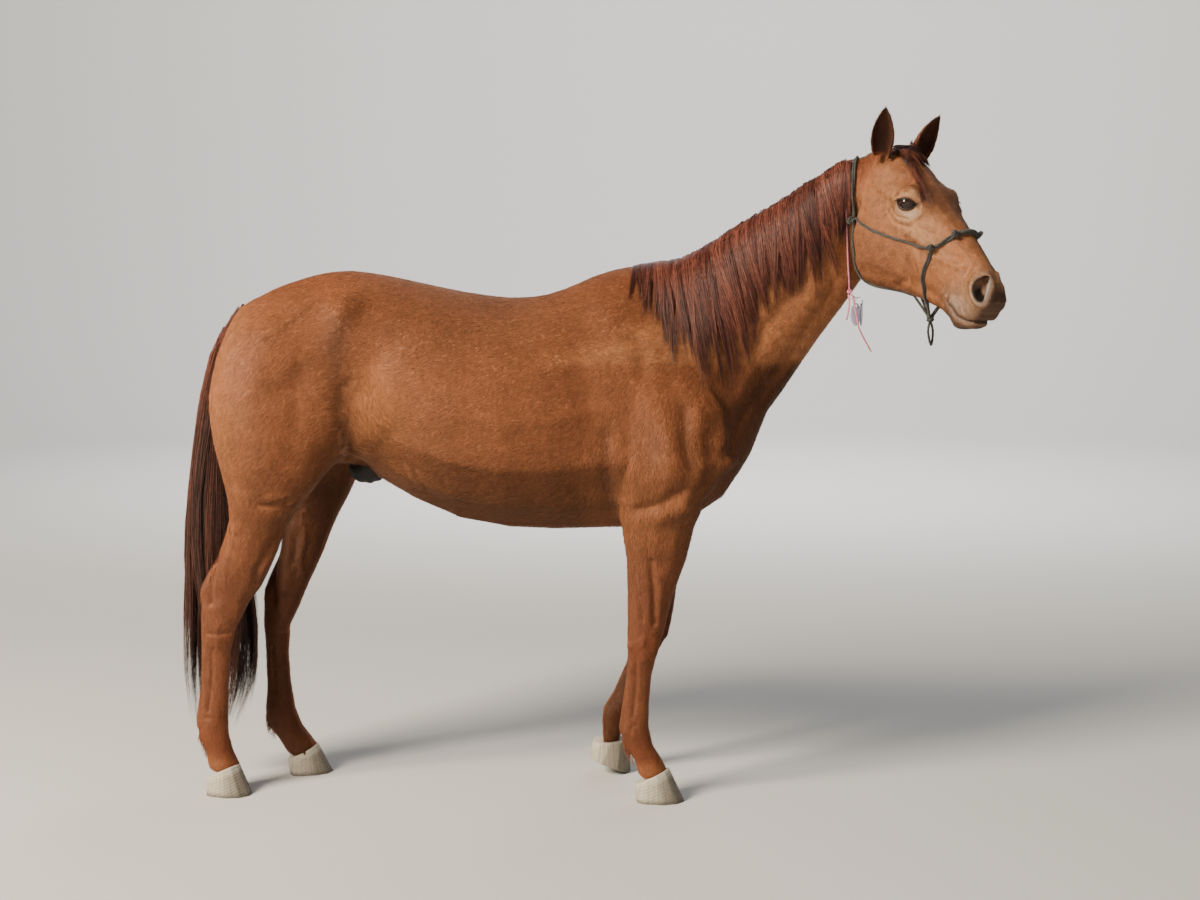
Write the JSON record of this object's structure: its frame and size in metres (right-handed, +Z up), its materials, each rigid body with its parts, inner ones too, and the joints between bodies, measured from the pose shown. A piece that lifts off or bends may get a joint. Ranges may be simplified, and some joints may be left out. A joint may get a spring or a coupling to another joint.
{
  "type": "standing horse",
  "caption": "Life-size standing chestnut horse with its head turned to the right, wearing a knotted rope halter and a thin neck cord with plain tags; still display model.",
  "frame": {"origin": "Middle of the footprint box on the ground, under the belly; the hooves stand at z = 0.", "axes": "+X points forward along the trunk, +Y to the horse's left, +Z up."},
  "size_m": [2.2956, 0.738, 1.9275],
  "materials": {
    "coat": "short dense chestnut hair, slightly glossy",
    "mane_hair": "long wavy dark red hair",
    "tail_hair": "long dark brown hair",
    "hoof": "dry grey horn with growth rings",
    "eye": "wet dark brown",
    "halter_rope": "braided dark olive rope",
    "neck_cord": "thin braided pink cord",
    "ring_steel": "bright wire",
    "tag_plastic": "smooth pale lilac plastic"
  },
  "bodies": {
    "root": {"trunk": "coat", "neck": "coat", "head": "coat", "foreleg_right": "coat", "foreleg_left": "coat", "hindleg_right": "coat", "hindleg_left": "coat", "hoof_fore_right": "hoof", "hoof_fore_left": "hoof", "hoof_hind_right": "hoof", "hoof_hind_left": "hoof", "eye_right": "eye", "eye_left": "eye", "ear_right": "coat", "ear_left": "coat", "tail": "tail_hair", "mane": "mane_hair", "forelock": "mane_hair", "halter_cheek_right": "halter_rope", "halter_chin_right": "halter_rope", "halter_throat_right": "halter_rope", "halter_nose_right": "halter_rope", "halter_cheek_left": "halter_rope", "halter_chin_left": "halter_rope", "halter_throat_left": "halter_rope", "halter_nose_left": "halter_rope", "halter_noseband": "halter_rope", "halter_crown": "halter_rope", "halter_loop": "halter_rope", "halter_knot_chin": "halter_rope", "halter_knot_throat_right": "halter_rope", "halter_knot_cheek_right": "halter_rope", "halter_knot_nose_right": "halter_rope", "halter_knot_throat_left": "halter_rope", "halter_knot_cheek_left": "halter_rope", "halter_knot_nose_left": "halter_rope", "neck_cord": "neck_cord", "neck_cord_knot": "neck_cord", "neck_cord_end": "neck_cord", "neck_cord_short_end": "neck_cord", "neck_cord_link": "neck_cord", "neck_tag_ring": "ring_steel", "neck_tag_1": "tag_plastic", "neck_tag_2": "tag_plastic"}
  },
  "joints": []
}
